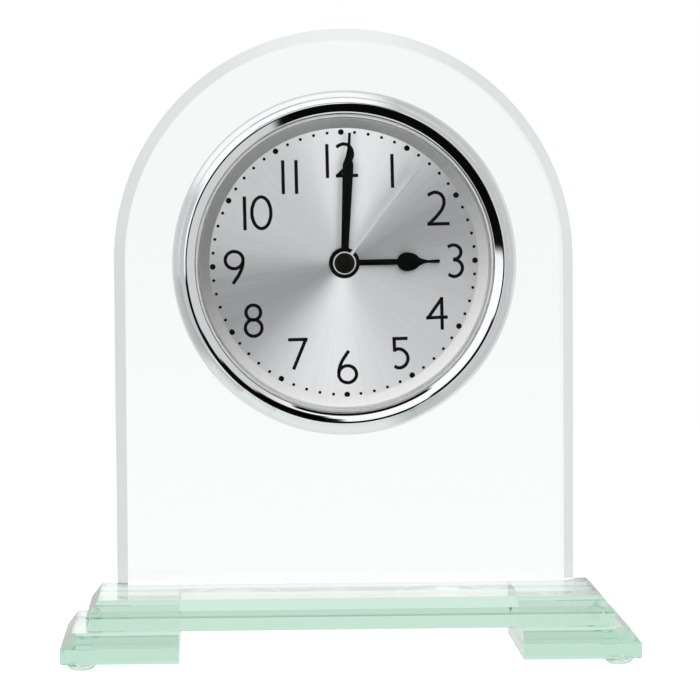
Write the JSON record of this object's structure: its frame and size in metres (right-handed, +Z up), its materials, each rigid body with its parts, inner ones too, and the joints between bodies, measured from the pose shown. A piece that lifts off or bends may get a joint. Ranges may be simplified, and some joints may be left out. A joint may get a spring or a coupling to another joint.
{
  "type": "shelf clock",
  "caption": "Bevelled glass arch shelf clock on a stepped glass base, with a round chrome quartz insert whose hands run from a coupled gear train and a sliding battery hatch behind",
  "frame": {"origin": "on the resting surface, under the middle of the base", "axes": "X across to the viewer's right, Y from the dial to the back, Z up"},
  "size_m": [0.152, 0.052, 0.168],
  "materials": {
    "panel_glass": "polished",
    "base_glass": "polished",
    "bumper": "clear satin",
    "bezel": "polished",
    "crystal": "polished",
    "dial_ring": "satin",
    "dial": "sunray brushed",
    "black_hand": "satin",
    "second_hand": "polished",
    "hand_cap": "satin",
    "case": "fine texture",
    "sleeve": "matt",
    "movement": "fine texture",
    "hatch": "fine texture",
    "knob": "moulded",
    "screw": "zinc plated",
    "wheel": "moulded",
    "rotor": "sintered",
    "motor_iron": "annealed",
    "bobbin": "moulded",
    "winding": "enamelled copper",
    "board": "solder mask",
    "can": "satin",
    "resin": "gloss",
    "cell": "satin",
    "contact": "plated"
  },
  "bodies": {
    "case": {"arch_panel": "panel_glass", "plinth": "base_glass", "left_foot": "base_glass", "right_foot": "base_glass", "bumpers": "bumper", "bezel": "bezel", "crystal": "crystal", "dial_ring": "dial_ring", "dial": "dial", "insert_case": "case", "grip_sleeve": "sleeve", "movement_case": "movement", "movement_cover": "movement", "case_screws": "screw", "stator": "motor_iron", "coil_core": "motor_iron", "coil_bobbin": "bobbin", "coil_winding": "winding", "circuit_board": "board", "timing_crystal": "can", "timing_chip": "resin", "button_cell": "cell", "cell_contact_minus": "contact", "cell_contact_plus": "contact"},
    "seconds": {"seconds_wheel": "wheel", "second_hand": "second_hand", "second_hand_cap": "hand_cap"},
    "minutes": {"centre_wheel": "wheel", "minute_hand": "black_hand"},
    "hours": {"hour_wheel": "wheel", "hour_hand": "black_hand"},
    "third": {"third_wheel": "wheel"},
    "drive": {"drive_wheel": "wheel"},
    "rotor": {"rotor": "rotor"},
    "motion": {"motion_wheel": "wheel"},
    "setting": {"setting_pinion": "wheel", "setting_knob": "knob"},
    "hatch": {"battery_hatch": "hatch"}
  },
  "joints": [
    {"name": "second_hand_turn", "type": "hinge", "parent": "case", "child": "seconds", "pos_m": [0, 0.0089, 0.105], "axis": [0, 1, 0], "continuous": true},
    {"name": "minute_hand_turn", "type": "hinge", "parent": "case", "child": "minutes", "pos_m": [0, 0.0089, 0.105], "axis": [0, 1, 0], "continuous": true},
    {"name": "hour_hand_turn", "type": "hinge", "parent": "case", "child": "hours", "pos_m": [0, 0.0089, 0.105], "axis": [0, 1, 0], "continuous": true},
    {"name": "third_wheel_turn", "type": "hinge", "parent": "case", "child": "third", "pos_m": [-0.0115, 0.0089, 0.10081], "axis": [0, 1, 0], "continuous": true},
    {"name": "drive_wheel_turn", "type": "hinge", "parent": "case", "child": "drive", "pos_m": [0.00648, 0.0089, 0.11622], "axis": [0, 1, 0], "continuous": true},
    {"name": "rotor_turn", "type": "hinge", "parent": "case", "child": "rotor", "pos_m": [0.0104, 0.0089, 0.12301], "axis": [0, 1, 0], "continuous": true},
    {"name": "motion_wheel_turn", "type": "hinge", "parent": "case", "child": "motion", "pos_m": [0.0045, 0.0089, 0.09721], "axis": [0, 1, 0], "continuous": true},
    {"name": "setting_knob_turn", "type": "hinge", "parent": "case", "child": "setting", "pos_m": [0.009, 0.0089, 0.08941], "axis": [0, 1, 0], "continuous": true},
    {"name": "hatch_slide", "type": "slide", "parent": "case", "child": "hatch", "axis": [1, 0, 0], "range_m": [0, 0.013]}
  ],
  "couplings": [
    {"joint": "minute_hand_turn", "follows": "second_hand_turn", "ratio": 0.016667},
    {"joint": "hour_hand_turn", "follows": "second_hand_turn", "ratio": 0.0013889},
    {"joint": "third_wheel_turn", "follows": "second_hand_turn", "ratio": -0.13333},
    {"joint": "drive_wheel_turn", "follows": "second_hand_turn", "ratio": -5},
    {"joint": "rotor_turn", "follows": "second_hand_turn", "ratio": 30},
    {"joint": "motion_wheel_turn", "follows": "second_hand_turn", "ratio": -0.0055556},
    {"joint": "setting_knob_turn", "follows": "second_hand_turn", "ratio": 0.016667}
  ]
}
